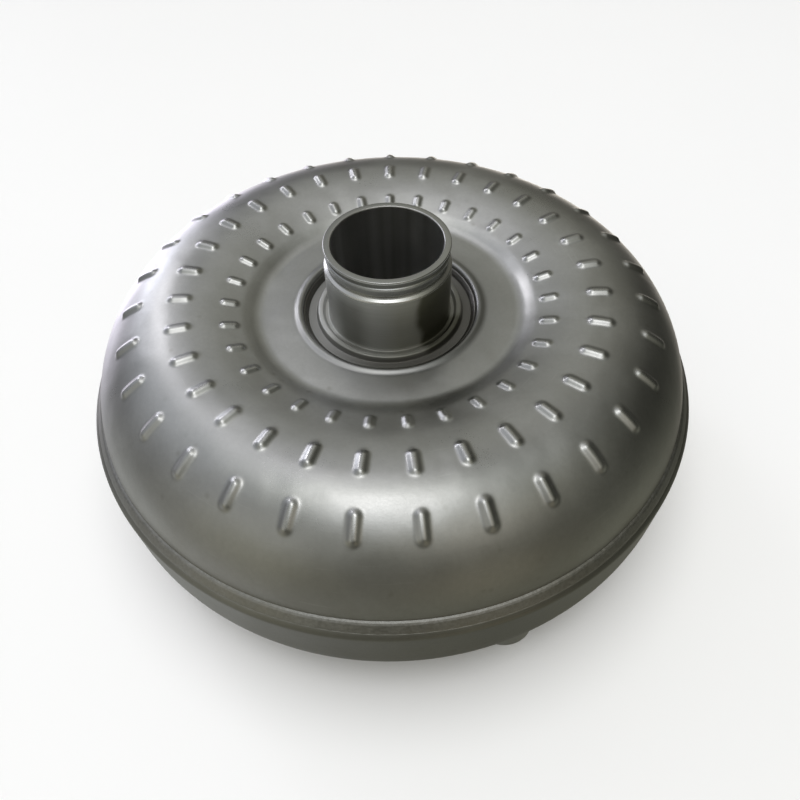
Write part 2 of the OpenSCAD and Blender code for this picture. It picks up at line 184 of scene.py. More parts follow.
class Mat:
    """A small builder for node materials. Positions are the frame's own, in millimetres."""

    def __init__(self, name):
        self.m = bpy.data.materials.new(name)
        self.m.use_nodes = True
        self.t = self.m.node_tree
        self.t.nodes.clear()
        self.out = self.n("ShaderNodeOutputMaterial")
        self.bsdf = self.n("ShaderNodeBsdfPrincipled")
        self.link(self.bsdf.outputs[0], self.out.inputs[0])
        tc = self.n("ShaderNodeTexCoord")
        sc = self.n("ShaderNodeVectorMath"); sc.operation = "SCALE"; sc.inputs[3].default_value = 1000
        self.link(tc.outputs["Object"], sc.inputs[0])
        self.pos = sc.outputs[0]
        self._cyl = None

    def n(self, kind):
        return self.t.nodes.new(kind)

    def link(self, a, b):
        self.t.links.new(a, b)

    def math(self, op, a, b=None, c=None, clamp=False):
        x = self.n("ShaderNodeMath"); x.operation = op; x.use_clamp = clamp
        for i, v in enumerate((a, b, c)):
            if v is None:
                continue
            if isinstance(v, (int, float)):
                x.inputs[i].default_value = v
            else:
                self.link(v, x.inputs[i])
        return x.outputs[0]

    def cyl(self):
        """(radius, angle as arc 0..1, z) in mm."""
        if self._cyl is None:
            s = self.n("ShaderNodeSeparateXYZ"); self.link(self.pos, s.inputs[0])
            x, y, z = s.outputs
            r = self.math("SQRT", self.math("ADD", self.math("MULTIPLY", x, x), self.math("MULTIPLY", y, y)))
            a = self.math("ARCTAN2", y, x)
            self._cyl = (r, a, z)
        return self._cyl

    def vec(self, x, y, z):
        c = self.n("ShaderNodeCombineXYZ")
        for i, v in enumerate((x, y, z)):
            if isinstance(v, (int, float)):
                c.inputs[i].default_value = v
            else:
                self.link(v, c.inputs[i])
        return c.outputs[0]

    def noise(self, scale, detail=2.0, rough=0.5, vec=None, dist=0.0):
        x = self.n("ShaderNodeTexNoise")
        x.inputs["Scale"].default_value = scale
        x.inputs["Detail"].default_value = detail
        x.inputs["Roughness"].default_value = rough
        x.inputs["Distortion"].default_value = dist
        self.link(vec if vec is not None else self.pos, x.inputs["Vector"])
        return x.outputs["Fac"]

    def voronoi(self, scale, vec=None, feature="F1"):
        x = self.n("ShaderNodeTexVoronoi"); x.feature = feature
        x.inputs["Scale"].default_value = scale
        self.link(vec if vec is not None else self.pos, x.inputs["Vector"])
        return x.outputs["Distance"]

    def ramp(self, fac, stops, interp="LINEAR"):
        x = self.n("ShaderNodeValToRGB")
        x.color_ramp.interpolation = interp
        el = x.color_ramp.elements
        while len(el) > 1:
            el.remove(el[-1])
        for i, (p, c) in enumerate(stops):
            e = el[0] if i == 0 else el.new(p)
            e.position = p
            c = c if hasattr(c, "__len__") else (c, c, c)
            e.color = (c[0], c[1], c[2], 1)
        self.link(fac, x.inputs[0])
        return x.outputs[0]

    def mapr(self, v, a, b, c=0.0, d=1.0, smooth=False):
        x = self.n("ShaderNodeMapRange"); x.clamp = True
        if smooth:
            x.interpolation_type = "SMOOTHSTEP"
        x.inputs["From Min"].default_value = a; x.inputs["From Max"].default_value = b
        x.inputs["To Min"].default_value = c; x.inputs["To Max"].default_value = d
        self.link(v, x.inputs["Value"])
        return x.outputs[0]

    def mix(self, fac, a, b, mode="MIX"):
        x = self.n("ShaderNodeMix"); x.data_type = "RGBA"; x.blend_type = mode
        for i, v in ((0, fac), (6, a), (7, b)):
            if isinstance(v, (int, float)):
                x.inputs[i].default_value = v if i == 0 else (v, v, v, 1)
            elif hasattr(v, "__len__"):
                x.inputs[i].default_value = (*v[:3], 1)
            else:
                self.link(v, x.inputs[i])
        return x.outputs[2]

    def mixf(self, fac, a, b):
        x = self.n("ShaderNodeMix"); x.data_type = "FLOAT"
        for i, v in ((0, fac), (2, a), (3, b)):
            if isinstance(v, (int, float)):
                x.inputs[i].default_value = v
            else:
                self.link(v, x.inputs[i])
        return x.outputs[0]

    def attr(self, name):
        x = self.n("ShaderNodeAttribute"); x.attribute_name = name
        return x.outputs["Fac"]

    def bump(self, layers):
        """layers: (height socket, strength, distance in mm)."""
        prev = None
        for h, s, d in layers:
            b = self.n("ShaderNodeBump")
            b.inputs["Strength"].default_value = s
            b.inputs["Distance"].default_value = d * MM
            self.link(h, b.inputs["Height"])
            if prev is not None:
                self.link(prev, b.inputs["Normal"])
            prev = b.outputs[0]
        self.link(prev, self.bsdf.inputs["Normal"])

    def set(self, name, v):
        s = self.bsdf.inputs[name]
        if isinstance(v, (int, float)):
            s.default_value = v
        elif hasattr(v, "__len__"):
            s.default_value = (*v[:3], 1)
        else:
            self.link(v, s)


def tone(c, k):
    return tuple(min(1.0, x * k) for x in c)


def pressed_steel(name, base, rough=0.34, stain=(0.30, 0.28, 0.22), stain_z=(60, 88), grain=1.0, dimples=False, stain_max=0.55):
    """Satin pressed sheet: cloudy tone, fine tumbled grain, faint draw lines, handling marks, a brown-olive cast low down."""
    m = Mat(name)
    r, a, z = m.cyl()
    cloud = m.noise(0.022, 4, 0.55)
    fine = m.noise(0.55, 3, 0.6)
    speck = m.noise(2.2, 2, 0.5)
    # long faint draw lines that run down the wall: narrow in angle, long in height
    drawn = m.noise(1.0, 3, 0.6, m.vec(m.math("MULTIPLY", a, 36.0), m.math("MULTIPLY", z, 0.035), m.math("MULTIPLY", r, 0.03)))
    # faint turning lines around the axis
    rings = m.noise(1.0, 2, 0.5, m.vec(m.math("MULTIPLY", r, 1.3), m.math("MULTIPLY", z, 1.3), m.math("MULTIPLY", a, 0.9)))
    col = m.mix(m.mapr(cloud, 0.35, 0.68), tone(base, 0.90), tone(base, 1.07))
    col = m.mix(m.mapr(fine, 0.3, 0.75, 0, 0.35), col, tone(base, 0.78))
    low = m.mapr(z, stain_z[1], stain_z[0], 0.0, stain_max, smooth=True)
    patch = m.mapr(m.noise(0.03, 3, 0.6, dist=0.4), 0.35, 0.7, 0.35, 1.0)
    col = m.mix(m.math("MULTIPLY", low, patch), col, stain)
    spots = m.mapr(m.voronoi(0.11), 0.0, 0.16, 0.35, 0.0)
    spots = m.math("MULTIPLY", spots, m.mapr(cloud, 0.45, 0.6))
    col = m.mix(spots, col, tone(stain, 0.7))
    scratch = m.noise(1.0, 2, 0.5, m.vec(m.math("MULTIPLY", a, 5.0), m.math("MULTIPLY", z, 1.1), m.math("MULTIPLY", r, 1.1)))
    scratch = m.mapr(scratch, 0.68, 0.72, 0.0, 1.0)
    col = m.mix(m.math("MULTIPLY", scratch, 0.18), col, tone(base, 1.3))
    rr = m.math("ADD", m.mapr(cloud, 0.3, 0.7, rough - 0.05, rough + 0.06), m.mapr(speck, 0.3, 0.7, -0.03, 0.04))
    rr = m.math("ADD", rr, m.math("MULTIPLY", low, 0.08))
    if dimples:
        d = m.attr("dimple")
        col = m.mix(m.mapr(d, 0.6, 1.0, 0.0, 0.28), col, tone(base, 1.2))
        rr = m.math("SUBTRACT", rr, m.mapr(d, 0.5, 1.0, 0.0, 0.04))
        # painted shade: the crease round each dimple's foot is darkened
        dimple_crease_shade = m.mapr(m.attr("dimple_foot"), 0.2, 1.0, 0.0, 0.22)
        col = m.mix(dimple_crease_shade, col, tone(base, 0.6))
        # painted shade: the rolled lip around the hub and the flat ring next to it are darkened, most of all on the
        # side of the hub's painted dark reflection band
        side = m.math("ABSOLUTE", m.math("WRAP", m.math("ADD", a, 0.56), math.pi, -math.pi))
        lip = m.math("ADD", m.mapr(r, 41.8, 40.4, 0.0, 0.6), m.mapr(r, 51.0, 41.5, 0.0, 0.4))
        col = m.mix(lip, col, m.mix(m.mapr(side, 0.5, 1.9, smooth=True), tone(base, 0.50), tone(base, 0.80)))
    m.set("Base Color", col)
    m.set("Metallic", 1.0)
    m.set("Roughness", rr)
    wave = m.noise(0.055, 1, 0.4, dist=0.3)
    m.bump([(wave, 0.5 * grain, 1.0), (cloud, 0.25 * grain, 0.9), (m.math("ADD", m.math("MULTIPLY", fine, 0.6), m.math("MULTIPLY", drawn, 0.5)), 0.22 * grain, 0.10),
            (speck, 0.30 * grain, 0.018), (rings, 0.25 * grain, 0.02)])
    return m.m


def turned_steel(name, base, rough=0.24, pitch=0.35, stain=(0.28, 0.26, 0.20), strength=0.5, axis_dir="z"):
    """Machined steel: tool rings around the axis, soft clouding."""
    m = Mat(name)
    r, a, z = m.cyl()
    along = m.math("ADD", z, m.math("MULTIPLY", r, 0.83))
    rings = m.noise(1.0, 3, 0.65, m.vec(m.math("MULTIPLY", along, 1.0 / pitch), m.math("MULTIPLY", a, 0.35), 0.0))
    wide = m.noise(1.0, 2, 0.5, m.vec(m.math("MULTIPLY", along, 0.22 / pitch), m.math("MULTIPLY", a, 0.6), 2.0))
    cloud = m.noise(0.05, 4, 0.6)
    speck = m.noise(1.6, 3, 0.6)
    col = m.mix(m.mapr(rings, 0.3, 0.7), tone(base, 0.88), tone(base, 1.08))
    col = m.mix(m.mapr(cloud, 0.45, 0.75, 0.0, 0.45), col, stain)
    col = m.mix(m.mapr(speck, 0.62, 0.74, 0.0, 0.35), col, tone(stain, 0.8))
    m.set("Base Color", col)
    m.set("Metallic", 1.0)
    m.set("Roughness", m.math("ADD", m.mapr(wide, 0.3, 0.7, rough - 0.05, rough + 0.06), m.mapr(speck, 0.4, 0.7, 0.0, 0.05)))
    m.bump([(rings, strength, 0.008), (speck, 0.15, 0.008)])
    return m.m


def hub_steel(name, base, rough=0.22):
    """Turned and ground hub: very fine rings, a burnt recess at the weld that also carries painted shade, a painted
    dark reflection band down one side, painted shade in the grooves, a painted highlight on the shoulder ledge and
    painted light bands in the bore.
    """
    m = Mat(name)
    r, a, z = m.cyl()
    along = m.math("ADD", z, m.math("MULTIPLY", r, 0.83))
    rings = m.noise(1.0, 2, 0.5, m.vec(m.math("MULTIPLY", along, 2.4), m.math("MULTIPLY", a, 0.25), 0.0))
    cloud = m.noise(0.06, 3, 0.5)
    speck = m.noise(1.6, 3, 0.6)
    col = m.mix(m.mapr(rings, 0.3, 0.7), tone(base, 0.95), tone(base, 1.04))
    col = m.mix(m.mapr(cloud, 0.4, 0.7, 0.0, 0.3), col, tone(base, 0.8))
    # angle from the middle of the painted dark reflection band, in radians, kept in one turn
    side = m.math("ABSOLUTE", m.math("WRAP", m.math("ADD", a, 0.56), math.pi, -math.pi))
    # painted reflection: the wall is darkened in a band down one side
    oil_film_and_painted_reflection = m.mapr(m.math("ADD", side, m.math("MULTIPLY", m.math("SUBTRACT", cloud, 0.5), 0.35)), 0.52, 0.36, smooth=True)
    wall = m.math("MULTIPLY", m.mapr(r, 24.9, 25.3), m.mapr(r, 31.5, 30.5))
    oil_film_and_painted_reflection = m.math("MULTIPLY", m.math("MULTIPLY", oil_film_and_painted_reflection, wall), m.mapr(z, 113.0, 111.0))
    col = m.mix(m.math("MULTIPLY", oil_film_and_painted_reflection, 0.85), col, (0.07, 0.07, 0.05))
    # the painted dark band gets a brownish mid-tone edge, also painted reflection
    edge = m.mapr(side, 1.05, 0.75, 0.0, 0.35)
    col = m.mix(m.math("MULTIPLY", edge, m.math("MULTIPLY", wall, m.mapr(z, 113.0, 111.0))), col, (0.26, 0.25, 0.17))
    # the recess at the weld: burnt weld colour and painted shade, darkest on the side of the painted dark band
    burnt_and_recess_shade = m.math("MULTIPLY", m.mapr(r, 30.0, 30.6), m.mapr(z, 88.0, 87.2))
    # a darker vertical stripe down the lower wall, at a set angle from the painted dark band
    run = m.mapr(m.math("ABSOLUTE", m.math("SUBTRACT", side, 1.55)), 0.42, 0.08, 0.0, 0.55, smooth=True)
    col = m.mix(m.math("MULTIPLY", run, m.math("MULTIPLY", wall, m.mapr(z, 112.0, 106.0))), col, (0.13, 0.13, 0.11))
    far = m.mapr(side, 0.9, 2.0, smooth=True)
    col = m.mix(m.math("MULTIPLY", burnt_and_recess_shade, 0.92), col, m.mix(far, (0.085, 0.082, 0.07), (0.25, 0.25, 0.24)))
    # painted shade: the groove at the hub's foot is darkened, most on the side of the painted dark band
    foot_shade = m.math("MULTIPLY", m.math("MULTIPLY", m.mapr(r, 25.3, 25.9), m.mapr(r, 30.7, 30.3)), m.mapr(z, 89.0, 88.4))
    col = m.mix(m.math("MULTIPLY", m.math("MULTIPLY", foot_shade, m.mapr(side, 1.9, 1.1)), 0.75), col, (0.12, 0.12, 0.10))
    # painted reflection: the bore is lightened with soft vertical bands of light
    inside = m.mapr(r, 22.6, 22.1)
    bore_light_streak = m.noise(1.0, 2, 0.4, m.vec(m.math("MULTIPLY", a, 3.0), 0.0, m.math("MULTIPLY", z, 0.004)))
    col = m.mix(m.math("MULTIPLY", inside, 0.8), col, m.mix(m.mapr(bore_light_streak, 0.35, 0.65), (0.42, 0.42, 0.40), (0.80, 0.80, 0.80)))
    # painted shade: the groove under the rim is darkened
    rim_groove_shade = m.math("MULTIPLY", m.mapr(r, 24.5, 24.2), m.math("MULTIPLY", m.mapr(z, 118.0, 118.25), m.mapr(z, 120.5, 120.3)))
    rim_groove_shade = m.math("MULTIPLY", rim_groove_shade, m.mapr(r, 22.9, 23.3))
    col = m.mix(m.math("MULTIPLY", rim_groove_shade, 0.85), col, (0.07, 0.07, 0.06))
    # painted highlight: the shoulder ledge below the journal band is made much lighter
    shoulder_highlight = m.math("MULTIPLY", m.mapr(z, 111.5, 111.9), m.mapr(z, 113.1, 112.8))
    shoulder_highlight = m.math("MULTIPLY", shoulder_highlight, m.mapr(r, 23.2, 23.6))
    col = m.mix(shoulder_highlight, col, (0.68, 0.68, 0.65))
    col = m.mix(m.mapr(speck, 0.64, 0.76, 0.0, 0.25), col, (0.2, 0.19, 0.15))
    m.set("Base Color", col)
    journal = m.math("MULTIPLY", m.mapr(r, 25.1, 25.3), m.mapr(z, 111.8, 111.0))
    # a thin dull oxide on the ground wall scatters a little light
    m.set("Metallic", m.math("SUBTRACT", 1.0, m.math("MULTIPLY", m.math("MULTIPLY", journal, m.math("SUBTRACT", 1.0, oil_film_and_painted_reflection)), 0.33)))
    rub = m.math("ADD", m.math("MULTIPLY", m.math("ADD", burnt_and_recess_shade, inside), 0.15), m.math("MULTIPLY", journal, 0.15))
    m.set("Roughness", m.math("ADD", m.mapr(cloud, 0.3, 0.7, rough - 0.03, rough + 0.05), rub))
    m.bump([(rings, 0.08, 0.004), (speck, 0.10, 0.005)])
    return m.m


def ground_steel(name, base, rough=0.14):
    m = Mat(name)
    r, a, z = m.cyl()
    lines = m.noise(1.0, 3, 0.7, m.vec(m.math("MULTIPLY", a, 60.0), m.math("MULTIPLY", z, 5.0), m.math("MULTIPLY", r, 4.0)))
    cloud = m.noise(0.12, 3, 0.5)
    oil = m.mapr(m.noise(0.3, 3, 0.6, dist=0.6), 0.55, 0.72)
    col = m.mix(m.mapr(lines, 0.3, 0.7), tone(base, 0.92), tone(base, 1.05))
    col = m.mix(m.math("MULTIPLY", oil, 0.3), col, (0.45, 0.40, 0.28))
    m.set("Base Color", col)
    m.set("Metallic", 1.0)
    m.set("Roughness", m.math("ADD", m.mapr(cloud, 0.3, 0.7, rough - 0.03, rough + 0.05), m.math("MULTIPLY", oil, 0.05)))
    m.bump([(lines, 0.25, 0.006)])
    return m.m


def weld_steel(name, base, rough=0.36):
    m = Mat(name)
    r, a, z = m.cyl()
    heat = m.noise(0.04, 3, 0.6, dist=0.3)
    fine = m.noise(0.9, 4, 0.65)
    ripple = m.noise(1.0, 2, 0.5, m.vec(m.math("MULTIPLY", a, 95.0), m.math("MULTIPLY", z, 0.5), m.math("MULTIPLY", r, 0.5)))
    col = m.mix(m.mapr(fine, 0.3, 0.7), tone(base, 0.82), tone(base, 1.12))
    col = m.mix(m.mapr(heat, 0.4, 0.65, 0.0, 0.4), col, (0.33, 0.32, 0.27))
    col = m.mix(m.mapr(heat, 0.62, 0.75, 0.0, 0.25), col, (0.30, 0.32, 0.36))
    # darker towards the axis, where the hub weld sits in its recess: burnt weld colour and painted recess shade
    col = m.mix(m.mapr(r, 60.0, 45.0, 0.0, 0.8), col, (0.10, 0.095, 0.085))
    m.set("Base Color", col)
    m.set("Metallic", 1.0)
    m.set("Roughness", m.mapr(fine, 0.3, 0.7, rough - 0.06, rough + 0.1))
    m.bump([(ripple, 0.5, 0.12), (fine, 0.35, 0.05)])
    return m.m


def stamped_steel(name, base, rough=0.38, oil=0.3, blue=0.0):
    m = Mat(name)
    r, a, z = m.cyl()
    cloud = m.noise(0.05, 4, 0.6)
    grain = m.noise(1.3, 3, 0.65)
    oil_film_and_painted_reflection = m.mapr(m.noise(0.09, 3, 0.6, dist=0.8), 0.5, 0.7)
    col = m.mix(m.mapr(cloud, 0.3, 0.7), tone(base, 0.85), tone(base, 1.1))
    col = m.mix(m.math("MULTIPLY", oil_film_and_painted_reflection, oil), col, (0.30, 0.25, 0.15))
    if blue:
        col = m.mix(m.mapr(m.noise(0.035, 3, 0.6), 0.4, 0.7, 0.0, blue), col, (0.22, 0.25, 0.33))
    m.set("Base Color", col)
    m.set("Metallic", 1.0)
    m.set("Roughness", m.math("ADD", m.mapr(grain, 0.3, 0.7, rough - 0.05, rough + 0.06), m.math("MULTIPLY", oil_film_and_painted_reflection, -0.06)))
    m.bump([(cloud, 0.2, 0.3), (grain, 0.3, 0.03)])
    return m.m


def cast_alloy(name, base):
    m = Mat(name)
    pores = m.voronoi(1.1)
    grain = m.noise(1.4, 4, 0.7)
    cloud = m.noise(0.06, 3, 0.6)
    col = m.mix(m.mapr(grain, 0.3, 0.7), tone(base, 0.86), tone(base, 1.06))
    col = m.mix(m.mapr(cloud, 0.45, 0.7, 0.0, 0.35), col, (0.56, 0.55, 0.52))
    m.set("Base Color", col)
    m.set("Metallic", 1.0)
    m.set("Roughness", m.mapr(grain, 0.3, 0.7, 0.36, 0.52))
    m.bump([(grain, 0.45, 0.07), (m.mapr(pores, 0.0, 0.25), 0.25, 0.05)])
    return m.m


def paper(name, base):
    m = Mat(name)
    fib = m.noise(1.8, 5, 0.7, dist=1.2)
    big = m.noise(0.08, 3, 0.6)
    col = m.mix(m.mapr(fib, 0.3, 0.7), tone(base, 0.7), tone(base, 1.25))
    col = m.mix(m.mapr(big, 0.45, 0.7, 0.0, 0.4), col, tone(base, 0.6))
    m.set("Base Color", col)
    m.set("Roughness", m.mapr(fib, 0.3, 0.7, 0.75, 0.95))
    m.bump([(fib, 0.6, 0.08)])
    return m.m


def polymer(name, base):
    m = Mat(name)
    g = m.noise(1.2, 3, 0.6)
    col = m.mix(m.mapr(g, 0.3, 0.7), tone(base, 0.8), tone(base, 1.3))
    m.set("Base Color", col)
    m.set("Roughness", m.mapr(g, 0.3, 0.7, 0.38, 0.55))
    m.bump([(g, 0.3, 0.02)])
    return m.m


def brass_like(name, base):
    m = Mat(name)
    g = m.noise(1.1, 3, 0.6)
    c = m.noise(0.07, 4, 0.6)
    col = m.mix(m.mapr(g, 0.3, 0.7), tone(base, 0.9), tone(base, 1.08))
    col = m.mix(m.mapr(c, 0.45, 0.7, 0.0, 0.5), col, (0.42, 0.30, 0.15))
    m.set("Base Color", col)
    m.set("Metallic", 1.0)
    m.set("Roughness", m.mapr(c, 0.3, 0.7, 0.24, 0.4))
    m.bump([(g, 0.3, 0.02)])
    return m.m


M = {
    "pressed_steel": pressed_steel("pressed_steel", (0.50, 0.505, 0.485), 0.33, dimples=True),
    "cover_steel": pressed_steel("cover_steel", (0.33, 0.33, 0.30), 0.36, stain=(0.20, 0.19, 0.145), stain_z=(18, 66)),
    "turned_steel": hub_steel("turned_steel", (0.44, 0.445, 0.425), 0.22),
    "pilot_steel": turned_steel("pilot_steel", (0.50, 0.50, 0.48), 0.27, pitch=0.5),
    "lug_steel": stamped_steel("lug_steel", (0.42, 0.42, 0.39), 0.36),
    "weld_metal": weld_steel("weld_metal", (0.42, 0.42, 0.40), 0.38),
    "fin_steel": stamped_steel("fin_steel", (0.60, 0.61, 0.60), 0.33, oil=0.35),
    "bearing_steel": ground_steel("bearing_steel", (0.66, 0.67, 0.68), 0.18),
    "needle_steel": ground_steel("needle_steel", (0.76, 0.77, 0.78), 0.10),
    "cage_steel": stamped_steel("cage_steel", (0.50, 0.48, 0.42), 0.34, oil=0.45),
    "turbine_steel": stamped_steel("turbine_steel", (0.55, 0.56, 0.54), 0.34, oil=0.35),
    "forged_steel": turned_steel("forged_steel", (0.50, 0.50, 0.49), 0.26, pitch=0.4),
    "rivet_steel": stamped_steel("rivet_steel", (0.50, 0.50, 0.49), 0.32),
    "plate_steel": stamped_steel("plate_steel", (0.40, 0.41, 0.41), 0.42, blue=0.3),
    "seal_polymer": polymer("seal_polymer", (0.10, 0.08, 0.055)),
    "spring_steel": stamped_steel("spring_steel", (0.30, 0.31, 0.34), 0.35, blue=0.5),
    "piston_steel": stamped_steel("piston_steel", (0.48, 0.49, 0.49), 0.34, oil=0.35),
    "friction_paper": paper("friction_paper", (0.22, 0.15, 0.08)),
    "stator_alloy": cast_alloy("stator_alloy", (0.70, 0.71, 0.72)),
    "leaf_steel": stamped_steel("leaf_steel", (0.56, 0.52, 0.40), 0.3),
    "retainer_brass": brass_like("retainer_brass", (0.70, 0.55, 0.29)),
    "snap_ring_steel": stamped_steel("snap_ring_steel", (0.22, 0.22, 0.23), 0.4, blue=0.4),
}

slot_of = {s["node"]: s["material_slot"] for s in frame["record"]["subparts"]}
for name, ob in nodes.items():
    ob.data.materials.clear()
    ob.data.materials.append(M[slot_of[name]])

# ------------------------------------------------------------------ pump shell

def hermite_curve(pts, seg):
    """Smooth curve through (r, z) points, tangents by central difference."""
    P = np.array(pts, float)
    T = np.zeros_like(P)
    T[1:-1] = (P[2:] - P[:-2]) / 2
    T[0] = P[1] - P[0]; T[-1] = P[-1] - P[-2]
    T[0][1] = 0; T[-1][1] = 0
    out = []
    for i in range(len(P) - 1):
        for k in range(seg):
            t = k / seg
            h00, h10, h01, h11 = 2 * t**3 - 3 * t**2 + 1, t**3 - 2 * t**2 + t, -2 * t**3 + 3 * t**2, t**3 - t**2
            out.append(tuple(h00 * P[i] + h10 * T[i] + h01 * P[i + 1] + h11 * T[i + 1]))
    out.append(tuple(P[-1]))
    return out


def shell_outer():
    """Outer face of the pump shell from the hub hole to the tail inside the cover."""
    lip = [(36.4, 87.9), (36.5, 88.5), (36.75, 89.1), (37.2, 89.45), (37.7, 89.6), (38.2, 89.62), (38.6, 89.54), (39.1, 89.36), (39.6, 89.15), (40.0, 89.04), (40.5, 89.0), (41.4, 89.0)]
    flat = [(42.5 + i, 89.0) for i in range(0, 10)]
    rise = hermite_curve([(52.5, 89.0), (54.6, 89.2), (56.6, 89.85), (58.8, 91.0), (61.2, 92.1), (64.5, 93.15), (68.5, 94.35), (73.0, 95.55), (78.0, 96.55), (83.0, 97.2), (88.5, 97.4)], 8)
    ell = []
    n = 90
    for i in range(1, n + 1):
        t = math.radians(90 - 90 * i / n)
        ell.append((CREST_R + SH_A * math.cos(t), SH_ZC + SH_B * math.sin(t)))
    tail = [(SHELL_R, 56.5), (SHELL_R, 54.5), (SHELL_R - 0.1, 53.0), (SHELL_R - 0.5, 52.2), (SHELL_R - 1.2, 52.0)]
    return lip + flat + rise + ell + tail


def resample(curve, steps):
    """Arc-length resampling with a local step size steps(r, z)."""
    P = np.array(curve)
    s = np.concatenate([[0], np.cumsum(np.hypot(*(P[1:] - P[:-1]).T))])
    out, u = [0.0], 0.0
    while u < s[-1]:
        r, z = np.interp(u, s, P[:, 0]), np.interp(u, s, P[:, 1])
        u += steps(r, z)
        out.append(min(u, s[-1]))
    if out[-1] - out[-2] < 1e-3:
        out.pop(-2)
    out = np.array(out)
    return np.stack([np.interp(out, s, P[:, 0]), np.interp(out, s, P[:, 1])], -1), out


ROWS = [  # radius of the row, half length of the straight part, half width, height
    (107.0, 3.6, 2.45, 1.15),
    (85.8, 2.75, 2.35, 1.15),
    (66.2, 1.8, 2.0, 0.92),
]


def pump_shell():
    curve = shell_outer()

    def step(r, z):
        for r0, lh, w, h in ROWS:
            if abs(r - r0) < lh + 1.6 * w:
                return 0.42
        if r < 41.5 or 52 < r < 62:
            return 0.6
        return 1.5 if z > 60 else 2.0
    P, s = resample(curve, step)
    rows = []
    for r0, lh, w, h in ROWS:
        k = np.argmin(np.abs(P[:, 0] - r0) + (P[:, 1] < 70) * 1e3)
        s0 = np.interp(r0, P[max(k - 2, 0):k + 3, 0], s[max(k - 2, 0):k + 3])
        rows.append((s0, lh, w, h))
    # outward normals of the profile
    D = np.gradient(P, s, axis=0)
    N = np.stack([-D[:, 1], D[:, 0]], -1)
    N /= np.linalg.norm(N, axis=1)[:, None]
    # inner face, 4 mm in, walked back from tail to hub
    inner = [(122.9, 52.0), (122.4, 52.4), (122.3, 54.0), (122.3, 60.0), (122.3, 66.0)]
    for i in range(1, 33):
        t = math.radians(90 * i / 32)
        inner.append((CREST_R + 33.8 * math.cos(t), 66 + 27.4 * math.sin(t)))
    inner += [(83, 93.2), (78, 92.6), (73, 91.6), (68.5, 90.4), (64.5, 89.2), (61.2, 88.1), (58.8, 87.0), (56.6, 85.9), (54.6, 85.2), (52.5, 85.0), (46, 85.0), (40, 85.0), (36.9, 85.0), (36.4, 85.4)]
    inner = np.array(inner)
    # angles: dense across each dimple
    local = np.concatenate([np.linspace(-2.7, 2.7, 25), np.linspace(2.7, 360 / FIN_N - 2.7, 8)[1:-1]])
    th = np.concatenate([FIN_A0 + k * 360 / FIN_N + local for k in range(FIN_N)])
    off = np.tile(local, FIN_N)
    off = np.where(off > 180 / FIN_N, off - 360 / FIN_N, off)   # distance in degrees to the nearest dimple
    T = np.radians(th)
    n, mo, mi = len(T), len(P), len(inner)
    # each dimple differs a touch in height and length
    rng = np.random.default_rng(7)
    jit = rng.normal(0, 1, (FIN_N, 3, 2))
    which = np.floor((th - FIN_A0 + 180 / FIN_N) / (360 / FIN_N)).astype(int) % FIN_N
    H = np.zeros((n, mo)); foot_shade = np.zeros((n, mo)); rel = np.zeros((n, mo))
    for ri, (s0, lh, w, h) in enumerate(rows):
        arc = np.radians(off)[:, None] * P[None, :, 0]
        jl = 1 + 0.04 * np.clip(jit[which, ri, 0], -1.5, 1.5)[:, None]
        jh = 1 + 0.06 * np.clip(jit[which, ri, 1], -1.5, 1.5)[:, None]
        ds = np.maximum(np.abs(s[None, :] - s0) - lh * jl, 0)
        d = np.hypot(ds, arc) / w
        # round top, sides that run softly into the shell
        shape = np.where(d < 1.9, np.exp(-(d / 0.80) ** 2.7), 0.0)
        H += h * jh * shape
        rel = np.maximum(rel, shape)
        # ring round each dimple's foot: the mask for the painted shade in its crease
        foot_shade = np.maximum(foot_shade, np.exp(-((d - 1.15) / 0.3) ** 2))
    R = P[None, :, 0] + H * N[None, :, 0]
    Z = P[None, :, 1] + H * N[None, :, 1]
    R = np.concatenate([R, np.tile(inner[:, 0], (n, 1))], 1)
    Z = np.concatenate([Z, np.tile(inner[:, 1], (n, 1))], 1)
    m = mo + mi
    V = np.stack([R * np.cos(T)[:, None], R * np.sin(T)[:, None], Z], -1).reshape(-1, 3)
    J, I = np.meshgrid(np.arange(n), np.arange(m), indexing="ij")
    J2, I2 = (J + 1) % n, (I + 1) % m
    # the outer profile runs outwards and down, which is clockwise: reverse the winding
    F = np.stack([J * m + I, J * m + I2, J2 * m + I2, J2 * m + I], -1).reshape(-1, 4)
    ob = new_object("pump_shell", V, F.tolist(), "housing", ("impeller_shell",), M["pressed_steel"], sharp=50)
    for nm, arr in (("dimple", rel), ("dimple_foot", foot_shade * (1 - rel))):
        full = np.concatenate([arr, np.zeros((n, mi))], 1).reshape(-1)
        at = ob.data.attributes.new(nm, "FLOAT", "POINT")
        at.data.foreach_set("value", full.astype(np.float32))
    return ob


shell = pump_shell()

# ------------------------------------------------------------------ pump hub and its weld

hub_prof = fillet([
    (22.0, HUB_Z0, 0.3), (41.0, HUB_Z0, 0.4), (41.0, 84.9, 0.3), (36.3, 84.9, 0), (36.3, 85.6, 0.2), (31.0, 85.6, 0.5), (30.2, 87.9, 0.7),
    (28.2, 88.15, 0.6), (27.3, 86.7, 0.4), (25.8, 86.7, 0.5), (25.4, 87.5, 0.4), (25.4, 111.75, 0.35), (25.1, 112.15, 0.25), (23.95, 112.85, 0.3),
    (23.95, 113.5, 0.5), (24.55, 116.9, 0.5), (24.6, 117.75, 0.25), (24.0, 118.15, 0.2), (23.9, 120.2, 0.25), (24.85, 120.4, 0.12), (24.85, HUB_TOP, 0.4), (22.0, HUB_TOP, 0.5)], 6)
hub = lathe("pump_hub_turned", densify(hub_prof, 1.5), 288, "housing", ("pump_hub",), M["turned_steel"], sharp=40)


